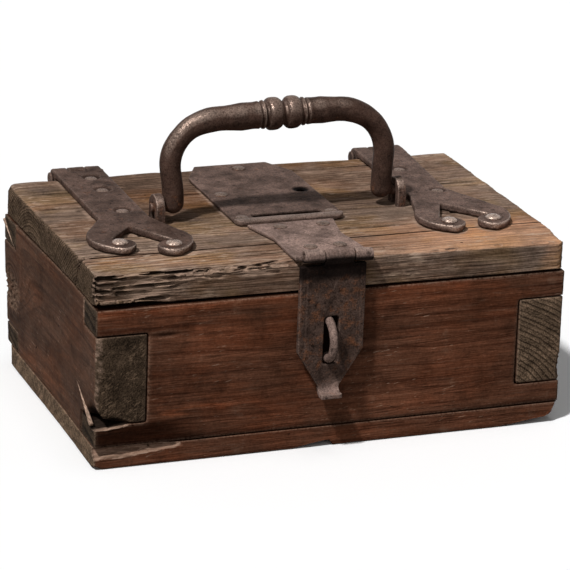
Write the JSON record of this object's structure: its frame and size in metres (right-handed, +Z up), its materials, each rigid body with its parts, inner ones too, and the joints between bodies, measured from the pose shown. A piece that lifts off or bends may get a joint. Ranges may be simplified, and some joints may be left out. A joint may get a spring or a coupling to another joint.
{
  "type": "offering box",
  "caption": "Small iron-bound wooden box with a hinged lid, a coin slot, a standing bail handle, scrolled strap hinges and a hasp that drops over a padlock staple.",
  "frame": {"origin": "middle of the underside of the bottom board", "axes": "+X along the box to the right as seen from the hasp side, +Y from the hasp side to the hinges, +Z up"},
  "size_m": [0.27, 0.1974, 0.1752],
  "materials": {
    "stained_wood": "dark stained, worn",
    "weathered_wood": "grey, weathered, open grain",
    "forged_iron": "dark forged, worn bright on edges",
    "rusted_iron": "brown rust, worn"
  },
  "bodies": {
    "box": {"front_board": "stained_wood", "back_board": "stained_wood", "left_side_board": "stained_wood", "right_side_board": "stained_wood", "bottom_board": "stained_wood", "bottom_nails": "forged_iron", "left_hinge_leaf": "forged_iron", "right_hinge_leaf": "forged_iron", "left_leaf_nails": "forged_iron", "right_leaf_nails": "forged_iron", "left_hinge_pin": "forged_iron", "right_hinge_pin": "forged_iron", "padlock_staple": "forged_iron"},
    "lid": {"lid_back_board": "weathered_wood", "lid_middle_board": "weathered_wood", "lid_front_strip": "weathered_wood", "left_strap_hinge": "forged_iron", "right_strap_hinge": "forged_iron", "left_strap_nails": "forged_iron", "right_strap_nails": "forged_iron", "coin_slot_plate": "forged_iron", "slot_plate_nails": "forged_iron", "left_handle_staple": "forged_iron", "right_handle_staple": "forged_iron", "hasp_strap": "rusted_iron", "hasp_strap_nails": "forged_iron", "hasp_pin": "rusted_iron"},
    "handle": {"bail_handle": "forged_iron"},
    "hasp": {"hasp_plate": "rusted_iron"}
  },
  "joints": [
    {"name": "lid_hinge", "type": "hinge", "parent": "box", "child": "lid", "pos_m": [0, 0.0914, 0.106], "axis": [-1, 0, 0], "range_deg": [0, 180]},
    {"name": "handle_swing", "type": "hinge", "parent": "lid", "child": "handle", "pos_m": [-0.0046, -0.001, 0.1158], "axis": [1, 0, 0], "range_deg": [-85, 85]},
    {"name": "hasp_swing", "type": "hinge", "parent": "lid", "child": "hasp", "pos_m": [-0.0019, -0.0888, 0.1114], "axis": [-1, 0, 0], "range_deg": [0, 180]}
  ]
}
